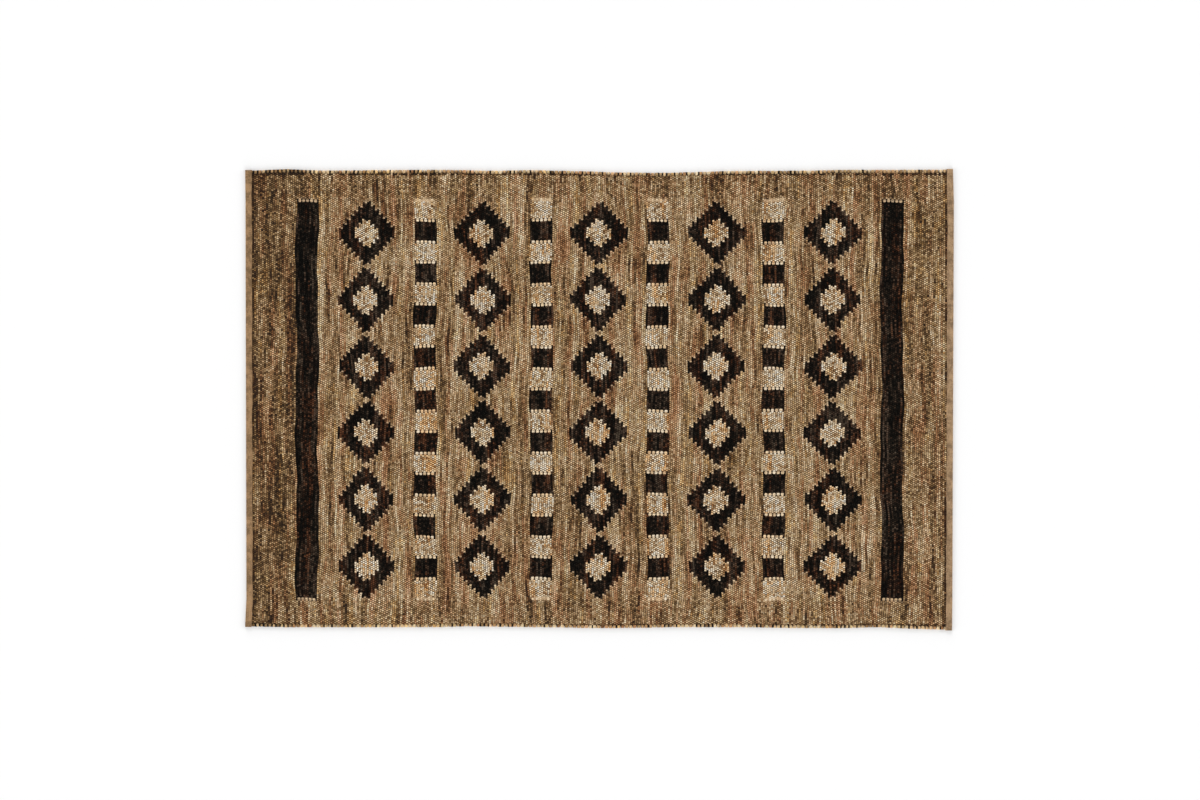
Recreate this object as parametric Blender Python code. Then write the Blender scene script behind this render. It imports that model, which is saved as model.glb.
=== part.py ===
"""A flat handwoven rug of leather and jute, 3.0 by 1.94 m, with a folded tape over each end.

The rug lies on z = 0, its length along X. Metres, +Z up.
"""

from collections import namedtuple
from math import cos, pi, sin

import bmesh
import bpy

# Driving dimensions
LENGTH = 3.0
WIDTH = 1.94
THICKNESS = 0.006
GAP = 0.0003  # between pieces that touch
EDGE_BULGE = 0.002  # how far a selvedge rounds out at half its height

TAPE = 0.0012  # thickness of the binding tape
BINDING_WIDTH = 0.027
CLOTH_END = 0.0036  # thickness of the cloth where the tape presses it
RAMP = 0.006  # where the cloth thins towards the tape
BINDING_OVERHANG = 0.003  # past each long edge
FOLD_RADIUS = 0.0025

# The woven design: lozenge columns, check columns between them
LOZENGE_COLUMNS = 5
LOZENGES = 6
COLUMN_PITCH = 0.495
LOZENGE_PITCH = 0.2824
CHECK_WIDTH = 0.0935
CHECK_LENGTH = 0.0892
CHECKS = 19  # dark and pale by turns, pale at both ends
PAD_RISE = 0.0015  # the pale jute yarn is thicker than the leather
LOZENGE_PAD = (0.058, 0.062)  # half sizes along X and Y
PAD_MARGIN = 0.003

# Where the long edges really run, and where the ends do, as shifts from the plain rectangle
LongEdge = namedtuple("LongEdge", "x back front")
LONG_EDGES = [
    LongEdge(-1.50, 0.000, 0.010),
    LongEdge(-1.35, 0.007, 0.006),
    LongEdge(-1.20, 0.001, 0.006),
    LongEdge(-0.61, 0.004, 0.006),
    LongEdge(-0.46, 0.000, 0.018),
    LongEdge(-0.31, 0.003, 0.015),
    LongEdge(-0.16, 0.000, 0.003),
    LongEdge(0.13, -0.008, 0.002),
    LongEdge(0.28, -0.009, 0.006),
    LongEdge(0.58, -0.001, 0.006),
    LongEdge(0.88, 0.000, 0.002),
    LongEdge(1.02, 0.004, 0.002),
    LongEdge(1.17, 0.004, 0.006),
    LongEdge(1.32, 0.004, -0.001),
    LongEdge(1.50, 0.005, -0.005),
]
EndEdge = namedtuple("EndEdge", "y left right")
END_EDGES = [
    EndEdge(-0.97, -0.002, -0.006),
    EndEdge(-0.89, 0.001, -0.005),
    EndEdge(-0.81, 0.005, -0.004),
    EndEdge(-0.65, 0.001, -0.001),
    EndEdge(-0.49, -0.002, 0.002),
    EndEdge(-0.33, 0.001, 0.001),
    EndEdge(0.08, 0.001, 0.002),
    EndEdge(0.16, -0.002, -0.001),
    EndEdge(0.32, -0.002, 0.002),
    EndEdge(0.56, -0.002, -0.001),
    EndEdge(0.76, 0.005, 0.002),
    EndEdge(0.88, -0.002, 0.002),
    EndEdge(0.97, -0.002, -0.002),
]
FADE = 0.12  # how far inward an edge's shift reaches

# Colours
CLOTH_COLOUR = (0.27, 0.17, 0.10)
LEFT_TAPE_COLOUR = (0.33, 0.20, 0.10)
RIGHT_TAPE_COLOUR = (0.36, 0.23, 0.13)

HALF_LENGTH = LENGTH / 2
HALF_WIDTH = WIDTH / 2
END_FACE = HALF_LENGTH - TAPE - GAP  # where the cloth stops, inside its binding
LEDGE = HALF_LENGTH - BINDING_WIDTH - GAP  # where the thinned end starts
END_LOW = TAPE + GAP
END_HIGH = END_LOW + CLOTH_END
BINDING_TOP = END_HIGH + GAP + TAPE
STATION = 0.15  # spacing of the plain outline stations


def remove_all():
    for item in list(bpy.data.objects):
        bpy.data.objects.remove(item, do_unlink=True)


def eased(t):
    t = min(max(t, 0.0), 1.0)
    return t * t * (3 - 2 * t)


def read_table(rows, place, column):
    """The column's value at a place along the table, eased from row to row."""
    for low, high in zip(rows, rows[1:]):
        if place <= high[0]:
            share = eased((place - low[0]) / (high[0] - low[0]))
            start = getattr(low, column)
            return start + share * (getattr(high, column) - start)
    return getattr(rows[-1], column)


def placed(x, y):
    """A point of the plain rectangle, moved as far as the uneven edges near it ask."""
    to_right = eased((x - HALF_LENGTH + FADE) / FADE) * read_table(END_EDGES, y, "right")
    to_left = eased((-x - HALF_LENGTH + FADE) / FADE) * read_table(END_EDGES, y, "left")
    to_back = eased((y - HALF_WIDTH + FADE) / FADE) * read_table(LONG_EDGES, x, "back")
    to_front = eased((-y - HALF_WIDTH + FADE) / FADE) * read_table(LONG_EDGES, x, "front")
    return x + to_right + to_left, y + to_back + to_front


def lozenge_centres():
    columns = [(i - (LOZENGE_COLUMNS - 1) / 2) * COLUMN_PITCH for i in range(LOZENGE_COLUMNS)]
    rows = [(j - (LOZENGES - 1) / 2) * LOZENGE_PITCH for j in range(LOZENGES)]
    return columns, rows


def pale_checks():
    """Centres of the check columns, and of the pale checks in each."""
    columns = [(i - (LOZENGE_COLUMNS - 2) / 2) * COLUMN_PITCH for i in range(LOZENGE_COLUMNS - 1)]
    rows = [(j - (CHECKS - 1) / 2) * CHECK_LENGTH for j in range(0, CHECKS, 2)]
    return columns, rows


def pad_lines():
    """The grid lines along X and Y that the raised pads need."""
    columns, rows = lozenge_centres()
    along = [c + k * LOZENGE_PAD[0] for c in columns for k in (-1, 0, 1)]
    across = [r + k * LOZENGE_PAD[1] for r in rows for k in (-1, 0, 1)]
    columns, rows = pale_checks()
    half_x = CHECK_WIDTH / 2 - PAD_MARGIN
    half_y = CHECK_LENGTH / 2 - PAD_MARGIN
    along += [c + k * half_x for c in columns for k in (-1, 1)]
    across += [r + k * half_y for r in rows for k in (-1, 1)]
    return along, across


def with_stations(lines, end):
    """The lines from -end to end, with plain stations where they lie far apart."""
    wanted = sorted(lines + [-end, end])
    full = [wanted[0]]
    for line in wanted[1:]:
        gap = line - full[-1]
        if gap < 0.0005:
            continue
        steps = int(gap / STATION) + 1
        full += [full[-1] + gap * (k + 1) / steps for k in range(steps)]
    return full


def plain_grid(xs, ys):
    """A flat grid at z = 0 whose lines lie at the given places."""
    bm = bmesh.new()
    bmesh.ops.create_grid(bm, x_segments=len(xs) - 1, y_segments=len(ys) - 1, size=1.0)
    for vert in bm.verts:
        i = round((vert.co.x + 1) / 2 * (len(xs) - 1))
        j = round((vert.co.y + 1) / 2 * (len(ys) - 1))
        vert.co = (xs[i], ys[j], 0.0)
    return bm


def extruded(bm, faces, way, open_sheet=False):
    """Extrude the faces as one region by the vector, and return the moved ones.

    The faces themselves stay only on an open sheet, where they close the solid.
    """
    made = bmesh.ops.extrude_face_region(bm, geom=faces)["geom"]
    verts = [item for item in made if isinstance(item, bmesh.types.BMVert)]
    bmesh.ops.translate(bm, verts=verts, vec=way)
    if not open_sheet:
        bmesh.ops.delete(bm, geom=faces, context="FACES")
    return [item for item in made if isinstance(item, bmesh.types.BMFace)]


def faces_within(faces, x, y, half_x, half_y):
    found = []
    for face in faces:
        middle = face.calc_center_median()
        if abs(middle.x - x) < half_x and abs(middle.y - y) < half_y:
            found.append(face)
    return found


def top_faces(bm):
    return [f for f in bm.faces if all(v.co.z > THICKNESS - GAP for v in f.verts)]


def raise_lozenge_pads(bm):
    """Merge the cells of each pad's box, cut the lozenge out of it and raise that."""
    columns, rows = lozenge_centres()
    half_x, half_y = LOZENGE_PAD
    pads = []
    for x in columns:
        for y in rows:
            cells = faces_within(top_faces(bm), x, y, half_x, half_y)
            box = bmesh.ops.dissolve_faces(bm, faces=cells)["region"][0]
            tips = [
                v for v in box.verts
                if abs(abs(v.co.x - x) / half_x + abs(v.co.y - y) / half_y - 1) < 0.001
            ]
            bmesh.ops.connect_verts(bm, verts=tips)
            pads += [f for f in tips[0].link_faces if all(tip in f.verts for tip in tips)]
    extruded(bm, pads, (0, 0, PAD_RISE))


def raise_check_pads(bm):
    columns, rows = pale_checks()
    half_x = CHECK_WIDTH / 2 - PAD_MARGIN
    half_y = CHECK_LENGTH / 2 - PAD_MARGIN
    faces = top_faces(bm)
    pads = []
    for x in columns:
        for y in rows:
            pads += faces_within(faces, x, y, half_x, half_y)
    extruded(bm, pads, (0, 0, PAD_RISE))


def merge_underside(bm):
    """Make one face of the flat underside, between the thinned ends."""
    flat = [
        f for f in bm.faces
        if all(v.co.z == 0 and abs(v.co.x) < LEDGE - RAMP / 2 for v in f.verts)
    ]
    bmesh.ops.dissolve_faces(bm, faces=flat)


def pressed(x, z):
    """Height of a point of the cloth, which is thinner where the tape holds it."""
    share = eased((abs(x) - LEDGE + RAMP) / RAMP)
    low = share * END_LOW
    high = THICKNESS + share * (END_HIGH - THICKNESS)
    if z > THICKNESS:
        return high + z - THICKNESS
    return low + (high - low) * z / THICKNESS


def cross_lines():
    """The lines across the rug, shared by the cloth and its bindings, so that the gap stays even."""
    return with_stations(pad_lines()[1], HALF_WIDTH - EDGE_BULGE)


def cloth_mesh():
    turns = [LEDGE - RAMP, LEDGE]
    xs = with_stations(pad_lines()[0] + turns + [-turn for turn in turns], END_FACE)
    bm = plain_grid(xs, cross_lines())
    waist = extruded(bm, bm.faces[:], (0, 0, THICKNESS / 2), open_sheet=True)
    extruded(bm, waist, (0, 0, THICKNESS / 2))
    for vert in bm.verts:
        on_waist = abs(vert.co.z - THICKNESS / 2) < GAP
        if on_waist and abs(vert.co.y) > HALF_WIDTH - 2 * EDGE_BULGE:
            vert.co.y += EDGE_BULGE if vert.co.y > 0 else -EDGE_BULGE
    raise_lozenge_pads(bm)
    raise_check_pads(bm)
    merge_underside(bm)
    for vert in bm.verts:
        x, y = placed(vert.co.x, vert.co.y)
        vert.co = (x, y, pressed(vert.co.x, vert.co.z))
    return bm


def tape_section():
    """Outline of the folded tape: how far in from the rug's end, and how high."""
    arc = [(1 - sin(k * pi / 6), 1 - cos(k * pi / 6)) for k in range(4)]
    low = [(FOLD_RADIUS * u, FOLD_RADIUS * z) for u, z in arc]
    high = [(u, BINDING_TOP - z) for u, z in reversed(low)]
    slot = [
        (BINDING_WIDTH, BINDING_TOP),
        (BINDING_WIDTH, BINDING_TOP - TAPE),
        (TAPE, BINDING_TOP - TAPE),
        (TAPE, TAPE),
        (BINDING_WIDTH, TAPE),
        (BINDING_WIDTH, 0.0),
    ]
    return low + high + slot


def binding_mesh(side):
    """The folded tape, swept along the rug's end; side is -1 at the left and 1 at the right."""
    overhang = HALF_WIDTH + BINDING_OVERHANG
    stations = [-overhang] + cross_lines() + [overhang]
    bm = bmesh.new()
    ring = [bm.verts.new((side * (HALF_LENGTH - u), stations[0], z)) for u, z in tape_section()]
    end = [bm.faces.new(ring)]
    for low, high in zip(stations, stations[1:]):
        end = extruded(bm, end, (0, high - low, 0), open_sheet=low == stations[0])
    for vert in bm.verts:
        vert.co.x, vert.co.y = placed(vert.co.x, vert.co.y)
    return bm


def material(name, colour, roughness):
    made = bpy.data.materials.new(name)
    made.use_nodes = True
    shader = made.node_tree.nodes["Principled BSDF"]
    shader.inputs["Base Color"].default_value = (*colour, 1.0)
    shader.inputs["Roughness"].default_value = roughness
    shader.inputs["Metallic"].default_value = 0.0
    return made


def add_node(name, bm, finish):
    bmesh.ops.recalc_face_normals(bm, faces=bm.faces)
    mesh = bpy.data.meshes.new(name)
    bm.to_mesh(mesh)
    bm.free()
    mesh.materials.append(finish)
    node = bpy.data.objects.new(name, mesh)
    bpy.context.scene.collection.objects.link(node)
    return node


remove_all()
add_node("rug_cloth", cloth_mesh(), material("leather_and_jute", CLOTH_COLOUR, 0.75))
add_node("end_binding_left", binding_mesh(-1), material("left_tape", LEFT_TAPE_COLOUR, 0.85))
add_node("end_binding_right", binding_mesh(1), material("right_tape", RIGHT_TAPE_COLOUR, 0.85))
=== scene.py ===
# %% [markdown]
# # A handwoven leather and jute rug
#
# The rug is a weft-faced flatweave. Stout wefts of cut leather and of jute run across its width,
# packed so tightly that they hide the warps, and each weft shows as a row of small beads. Each
# colour is its own weft, which turns back where its part of the design ends, so that the
# boundaries between colours have teeth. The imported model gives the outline, the thickness and the
# two folded tapes. This lesson dresses it with the weave itself.

# %% Load the frame
from collections import namedtuple
from math import atan2, cos, pi, radians, sin

import bmesh
import bpy
import numpy as np
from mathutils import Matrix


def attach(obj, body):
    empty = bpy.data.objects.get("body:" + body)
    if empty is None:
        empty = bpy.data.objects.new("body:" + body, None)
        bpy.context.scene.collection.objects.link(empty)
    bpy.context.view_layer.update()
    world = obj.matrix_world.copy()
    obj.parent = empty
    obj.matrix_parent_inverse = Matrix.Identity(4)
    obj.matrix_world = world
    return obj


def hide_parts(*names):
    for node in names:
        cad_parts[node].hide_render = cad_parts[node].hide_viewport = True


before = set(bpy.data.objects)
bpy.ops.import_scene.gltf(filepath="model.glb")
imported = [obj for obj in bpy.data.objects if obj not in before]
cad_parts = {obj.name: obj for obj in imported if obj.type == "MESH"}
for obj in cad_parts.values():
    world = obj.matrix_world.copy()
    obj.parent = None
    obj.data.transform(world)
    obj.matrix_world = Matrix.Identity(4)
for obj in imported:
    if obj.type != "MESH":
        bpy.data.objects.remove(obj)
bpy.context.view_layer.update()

CLOTH_NODE = "rug_cloth"
TAPE_NODES = {"left": "end_binding_left", "right": "end_binding_right"}

# %% [markdown]
# ## The outline of the cloth
#
# A handwoven rug is never quite straight: its selvedges pull in and let go as the weaver's hand
# does. The outline could be typed in again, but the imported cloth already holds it, so its waist,
# the ring of points half way up its edge, is read and the weave is fitted to that.

# %% Read the waist of the cloth
HALF_LENGTH = 1.4985  # of the plain cloth, before its uneven edges
HALF_WIDTH = 0.97
THICKNESS = 0.006
FADE = 0.12  # how far inward the uneven edges reach
EDGE_BAND = 0.012  # no edge strays this far, so what lies nearer belongs to it


def vertex_places(mesh):
    """Every vertex's place, one row for each."""
    places = np.empty(len(mesh.vertices) * 3)
    mesh.vertices.foreach_get("co", places)
    return places.reshape(-1, 3)


points = vertex_places(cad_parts[CLOTH_NODE].data)


def edge_line(side, along):
    """The edge's points on one side, as sorted places along it and shifts from the plain edge."""
    across = 1 - along
    plain = (HALF_LENGTH, HALF_WIDTH)[across]
    near = points[side * points[:, across] > plain - EDGE_BAND]
    waist = near[np.abs(near[:, 2] - THICKNESS / 2) < THICKNESS / 5]
    best = {}
    for point in waist:
        place = round(float(point[along]), 3)
        best[place] = max(best.get(place, 0.0), side * float(point[across]))
    places = np.array(sorted(best))
    return places, np.array([side * (best[place] - plain) for place in places])


EDGES = {
    "left": edge_line(-1, 1),
    "right": edge_line(1, 1),
    "front": edge_line(-1, 0),
    "back": edge_line(1, 0),
}
for name, (places, shifts) in EDGES.items():
    print(name, len(places), "points, shift", round(shifts.min(), 4), "to", round(shifts.max(), 4))


def eased(t):
    t = np.clip(t, 0.0, 1.0)
    return t * t * (3 - 2 * t)


def fitted(x, y):
    """Points of the plain rectangle, moved as the uneven edges ask."""
    right = eased((x - HALF_LENGTH + FADE) / FADE) * np.interp(y, *EDGES["right"])
    left = eased((-x - HALF_LENGTH + FADE) / FADE) * np.interp(y, *EDGES["left"])
    back = eased((y - HALF_WIDTH + FADE) / FADE) * np.interp(x, *EDGES["back"])
    front = eased((-y - HALF_WIDTH + FADE) / FADE) * np.interp(x, *EDGES["front"])
    return x + right + left, y + back + front


# %% [markdown]
# ## The lattice of the weave
#
# A weft lies in a lane about 8.5 mm wide. Where it passes over a warp it swells into a bead about
# 9 mm long, and the next lane's beads lie half a bead further on, like bricks. Every pattern in
# the rug is made of whole beads, so the design is a rule that says which yarn fills a bead.

# %% Count the lanes and the beads
LANES = 353
BEADS = 216
SELVEDGE = 0.007  # depth of the row of weft turns along each long edge
LANE = 2 * HALF_LENGTH / LANES
BEAD = 2 * (HALF_WIDTH - SELVEDGE) / BEADS
GROUND, LEATHER, JUTE = 0, 1, 2
rng = np.random.default_rng(2024)
print("lane", round(LANE * 1000, 2), "mm, bead", round(BEAD * 1000, 2), "mm,", LANES * BEADS, "beads")

# %% [markdown]
# ## The design
#
# The design is one of the oldest in flatweaving: columns of stepped lozenges, columns of checks
# between them, and a plain stripe at each end. Diagonals are cut into steps of two lanes, because a
# weft can only turn at a warp. Every second lane reaches further than its neighbours, which makes
# the teeth. On a diagonal it is the outer lane of each step that does.

# %% Say which yarn fills a bead
COLUMN_PITCH = 0.495
LOZENGE_COLUMNS = 5
LOZENGE_PITCH = 0.2824
LOZENGE_COLOURS = {LEATHER: (0.1325, LOZENGE_PITCH / 2), JUTE: (0.062, 0.066)}
CHECK_WIDTH = 0.0935
CHECK_LENGTH = 10 * BEAD
CHECKS = 19
FIELD_HALF = CHECKS * CHECK_LENGTH / 2
TOOTH = 0.75  # of a bead, so that neighbours differ by a bead and a half
DIAGONAL_TOOTH = 0.25
SHORTEST_STEP = 1.2 * BEAD


def column_offset(x, count):
    """Distance from the nearest of so many columns."""
    span = (count - 1) / 2 * COLUMN_PITCH
    nearest = np.clip(np.round((x + span) / COLUMN_PITCH), 0, count - 1)
    return x - (nearest * COLUMN_PITCH - span)


def yarn_of(lane, y):
    """The yarn of the bead whose middle lies at y in a lane."""
    x = (lane + 0.5) * LANE - HALF_LENGTH
    tooth = np.where(lane % 2 == 0, TOOTH, -TOOTH) * BEAD
    yarn = np.full(np.broadcast(x, y).shape, GROUND)
    in_field = np.abs(y) + tooth < FIELD_HALF

    lanes_out = np.floor(np.abs(column_offset(x, LOZENGE_COLUMNS)) / LANE)
    step_tooth = np.where(lanes_out % 2 == 1, -DIAGONAL_TOOTH, DIAGONAL_TOOTH) * BEAD
    across = (np.floor(lanes_out / 2) * 2 + 1) * LANE
    along = np.abs((y + FIELD_HALF) % LOZENGE_PITCH - LOZENGE_PITCH / 2)
    for colour, (half_across, half_along) in LOZENGE_COLOURS.items():
        reach = (1 - across / half_across) * half_along
        yarn[in_field & (along + step_tooth < reach) & (reach > SHORTEST_STEP)] = colour

    in_column = in_field & (np.abs(column_offset(x, LOZENGE_COLUMNS - 1)) < CHECK_WIDTH / 2)
    from_check = (y + FIELD_HALF) % (2 * CHECK_LENGTH) - CHECK_LENGTH / 2
    pale = np.abs(from_check) + tooth < CHECK_LENGTH / 2
    wrapped = np.abs(from_check - 2 * CHECK_LENGTH) + tooth < CHECK_LENGTH / 2
    yarn[in_column] = LEATHER
    yarn[in_column & (pale | wrapped)] = JUTE

    stripe = (LOZENGE_COLUMNS / 2) * COLUMN_PITCH
    yarn[in_field & (np.abs(np.abs(x) - stripe) < CHECK_WIDTH / 2)] = LEATHER
    return yarn


# %% Chart the whole rug, one half bead at a time
half_beads = 2 * BEADS
lane_of_cell = np.arange(LANES)[:, None]
cell = np.arange(half_beads)[None, :]
bead_of_cell = (cell + lane_of_cell % 2) // 2
bead_middle = (bead_of_cell + 0.5 - 0.5 * (lane_of_cell % 2) - BEADS / 2) * BEAD
chart = yarn_of(lane_of_cell, bead_middle)
shares = [float((chart == yarn).mean()) for yarn in (GROUND, LEATHER, JUTE)]
print("shares of ground, dark leather and jute:", [round(share, 3) for share in shares])

# %% [markdown]
# ## The wander of the wefts
#
# The wefts don't run dead straight, and neither do the stripes that they make. A few long, low
# waves move the whole lattice sideways, by up to 7 mm, and fade out towards the edges,
# where the outline takes over.

# %% Move the lattice as a whole
Wave = namedtuple("Wave", "size across along start")
SIDEWAYS = [
    Wave(0.0036, 0.9, 1.5, 0.4),
    Wave(0.0024, 2.3, 3.6, 2.1),
    Wave(0.0011, 6.1, 7.9, 4.4),
]
LENGTHWAYS = [
    Wave(0.0022, 1.7, 0.6, 1.2),
    Wave(0.0012, 4.9, 1.1, 3.3),
    Wave(0.0008, 11.0, 2.3, 5.2),
]


def waves(x, y, table):
    return sum(w.size * np.sin(2 * pi * (w.across * x + w.along * y) + w.start) for w in table)


def woven_place(x, y):
    """Where a point of the plain lattice really lies."""
    calm_x = eased((HALF_LENGTH - np.abs(x)) / FADE)
    calm_y = eased((HALF_WIDTH - np.abs(y)) / FADE)
    return fitted(x + calm_x * waves(x, y, SIDEWAYS), y + calm_y * waves(x, y, LENGTHWAYS))


# %% [markdown]
# ## The relief
#
# The beads are real relief, not only a bump. Two grid lines run along each lane, one on its crown
# and one in the groove beside it, and two cross each bead, one at its top and one where it dips
# under the warp. The jute is thicker than the leather and stands above it. A weft that turns back
# at the end of its colour swells, so those beads are raised too.

# %% Work out the height of every grid point
Yarn = namedtuple("Yarn", "groove crown dip")
YARNS = {
    GROUND: Yarn(groove=0.0050, crown=0.0064, dip=0.0054),
    LEATHER: Yarn(groove=0.0050, crown=0.0060, dip=0.0054),
    JUTE: Yarn(groove=0.0055, crown=0.0073, dip=0.0061),
}
TURN_RISE = 0.0005
LANE_UNEVEN = 0.00012
BEAD_UNEVEN = 0.00018

before = np.roll(chart, 2, axis=1)
after = np.roll(chart, -2, axis=1)
beside = (np.roll(chart, 1, axis=0) != chart) & (np.roll(chart, -1, axis=0) != chart)
free = beside & (chart != LEATHER)  # a tooth, which stands clear of both lanes beside it
turning = 0.4 * ((before != chart) | (after != chart))
turning = np.where(beside & (turning > 0), 1.0, np.where(free, 0.7, turning))
turning[:, :2] = 0
turning[:, -2:] = 0


def from_yarn(part):
    return np.choose(chart, [getattr(YARNS[yarn], part) for yarn in (GROUND, LEATHER, JUTE)])


groove, crown, dip = from_yarn("groove"), from_yarn("crown"), from_yarn("dip")
crown = crown + TURN_RISE * turning
crown = crown + rng.normal(0, LANE_UNEVEN, (LANES, 1))
bead_noise = rng.normal(0, BEAD_UNEVEN, (LANES, BEADS + 1))
crown = crown + np.take_along_axis(bead_noise, bead_of_cell, axis=1)

height = np.empty((2 * LANES + 1, half_beads + 1))
padded_low = np.pad(groove, ((1, 1), (1, 1)), mode="edge")
corners = [padded_low[i:LANES + 1 + i, j:half_beads + 1 + j] for i in (0, 1) for j in (0, 1)]
height[0::2] = np.minimum.reduce(corners)
dip_before = np.pad(dip, ((0, 0), (1, 0)), mode="edge")
dip_after = np.pad(dip, ((0, 0), (0, 1)), mode="edge")
on_lane_low = np.minimum(dip_before, dip_after)
on_lane_high = np.pad(crown, ((0, 0), (0, 1)), mode="edge")
at_bead_middle = (np.arange(half_beads + 1)[None, :] + lane_of_cell) % 2 == 1
height[1::2] = np.where(at_bead_middle, on_lane_high, on_lane_low)
print("relief from", round(height.min() * 1000, 2), "to", round(height.max() * 1000, 2), "mm")

# %% [markdown]
# ## From lattice to meshes
#
# One flat grid is made with a bmesh operator, and its points are moved to their places in the
# weave. A UV map counts lanes along U and beads along V, so that a material can tell one bead from
# the next. The grid is then cut into one piece for each yarn, and the ground into three, because
# a mesh of this size is easier to handle in parts.

# %% Make the woven grid once
BINDING_WIDTH = 0.027
RAMP = 0.006  # where the cloth thins towards the tape
THIN_HEIGHT = 0.0048  # of the weave where the tape presses it
lines_across = 2 * LANES + 1
lines_along = half_beads + 1


def thinned_share(x):
    """0 on the open cloth, 1 where a tape presses it."""
    return eased((np.abs(x) - HALF_LENGTH + BINDING_WIDTH + RAMP) / RAMP)


def grid_indices(mesh, count_x, count_y):
    """Each vertex's line numbers in a fresh grid that spans -1 to 1."""
    co = vertex_places(mesh)
    i = np.rint((co[:, 0] + 1) / 2 * (count_x - 1)).astype(int)
    j = np.rint((co[:, 1] + 1) / 2 * (count_y - 1)).astype(int)
    return i, j


def mesh_from(bm, name):
    mesh = bpy.data.meshes.new(name)
    bm.to_mesh(mesh)
    bm.free()
    return mesh


def placed(name, data):
    """An object that shows a mesh, a lamp or a camera, added to the scene."""
    piece = bpy.data.objects.new(name, data)
    bpy.context.scene.collection.objects.link(piece)
    return piece


def flat_grid(name, count_x, count_y):
    bm = bmesh.new()
    bmesh.ops.create_grid(bm, x_segments=count_x - 1, y_segments=count_y - 1, size=1.0)
    return mesh_from(bm, name)


def corner_vertices(mesh):
    """The vertex at each corner of each face, face by face."""
    corners_of = np.empty(len(mesh.loops), dtype=np.int32)
    mesh.loops.foreach_get("vertex_index", corners_of)
    return corners_of


def set_lattice_uv(mesh, u, v):
    """Store each vertex's lane and bead count in the UV map that the materials read."""
    corners_of = corner_vertices(mesh)
    layer = mesh.uv_layers.new(name="Weave")
    layer.data.foreach_set("uv", np.column_stack([u[corners_of], v[corners_of]]).ravel())


def set_smooth(mesh):
    mesh.polygons.foreach_set("use_smooth", np.ones(len(mesh.polygons), dtype=bool))


SWELL = 0.27  # of a lane, how far a tooth pushes the lanes beside it apart

swollen = np.zeros((lines_across, lines_along))
tooth_line = np.pad(free, ((0, 0), (1, 0))) & np.pad(free, ((0, 0), (0, 1)))
swollen[0:-1:2] -= SWELL * LANE * tooth_line
swollen[2::2] += SWELL * LANE * tooth_line

woven = flat_grid("woven_grid", lines_across, lines_along)
grid_i, grid_j = grid_indices(woven, lines_across, lines_along)
plain_x = grid_i * LANE / 2 - HALF_LENGTH + swollen[grid_i, grid_j]
plain_y = (grid_j / 2 - BEADS / 2) * BEAD
place_x, place_y = woven_place(plain_x, plain_y)
pressed = thinned_share(plain_x)
place_z = height[grid_i, grid_j] * (1 - pressed) + THIN_HEIGHT * pressed
woven.vertices.foreach_set("co", np.column_stack([place_x, place_y, place_z]).ravel())
set_lattice_uv(woven, grid_i / 2, grid_j / 2)
set_smooth(woven)

corner_of_face = corner_vertices(woven).reshape(-1, 4)
face_lane = grid_i[corner_of_face].min(axis=1) // 2
face_cell = grid_j[corner_of_face].min(axis=1)
face_yarn = chart[face_lane, face_cell]
face_turn = turning[face_lane, face_cell]
turn = woven.attributes.new("turn", "FLOAT", "CORNER")
turn.data.foreach_set("value", np.repeat(face_turn, 4))
print("woven grid:", len(woven.polygons), "faces")

# %% Cut the grid into one piece for each yarn
GROUND_PARTS = {"left": (0, 118), "middle": (118, 235), "right": (235, LANES)}


def part_of(mesh, name, keep):
    """A new object with only the faces that the mask keeps."""
    bm = bmesh.new()
    bm.from_mesh(mesh)
    drop = [face for face, kept in zip(bm.faces, keep) if not kept]
    bmesh.ops.delete(bm, geom=drop, context="FACES")
    part = mesh_from(bm, name)
    print(name, len(part.polygons) * 2, "triangles")
    return placed(name, part)


cloth_pieces = {}
for part_name, (first, last) in GROUND_PARTS.items():
    inside = (face_yarn == GROUND) & (face_lane >= first) & (face_lane < last)
    cloth_pieces["ground_" + part_name] = part_of(woven, "ground_weave_" + part_name, inside)
cloth_pieces["leather"] = part_of(woven, "dark_leather_weave", face_yarn == LEATHER)
cloth_pieces["jute"] = part_of(woven, "pale_jute_weave", face_yarn == JUTE)
bpy.data.meshes.remove(woven)

# %% [markdown]
# ## The underside
#
# A flatweave shows the same design on both faces, so the underside gets the same yarns. It lies
# flat on the floor and is seldom seen, so one face for each bead is enough there, with the beads'
# roundness left to the materials. Its rim is extruded up to meet the woven top.

# %% Make the underside
RIM_HEIGHT = 0.0046

back = flat_grid("underside_weave", LANES + 1, BEADS + 1)
back_i, back_j = grid_indices(back, LANES + 1, BEADS + 1)
back_x, back_y = woven_place(back_i * LANE - HALF_LENGTH, (back_j - BEADS / 2) * BEAD)

TAPE_BELOW = 0.0015  # the tape and its gap, under the cloth's ends
back_z = TAPE_BELOW * thinned_share(back_i * LANE - HALF_LENGTH)
back.vertices.foreach_set("co", np.column_stack([back_x, back_y, back_z]).ravel())
set_lattice_uv(back, back_i.astype(float), back_j.astype(float))
corner_of_back = corner_vertices(back).reshape(-1, 4)
back_lane = back_i[corner_of_back].min(axis=1)
back_bead = back_j[corner_of_back].min(axis=1)
back_yarn = yarn_of(back_lane, (back_bead + 0.5 - BEADS / 2) * BEAD)
back.polygons.foreach_set("material_index", back_yarn.astype(np.int32))
set_smooth(back)

bm = bmesh.new()
bm.from_mesh(back)
bmesh.ops.reverse_faces(bm, faces=bm.faces)
rim = [edge for edge in bm.edges if edge.is_boundary]
lifted = bmesh.ops.extrude_edge_only(bm, edges=rim)["geom"]
for vert in lifted:
    if isinstance(vert, bmesh.types.BMVert):
        vert.co.z = RIM_HEIGHT
bm.to_mesh(back)
bm.free()
cloth_pieces["underside"] = placed("underside_weave", back)
print("underside:", len(back.polygons) * 2, "triangles")

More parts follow.
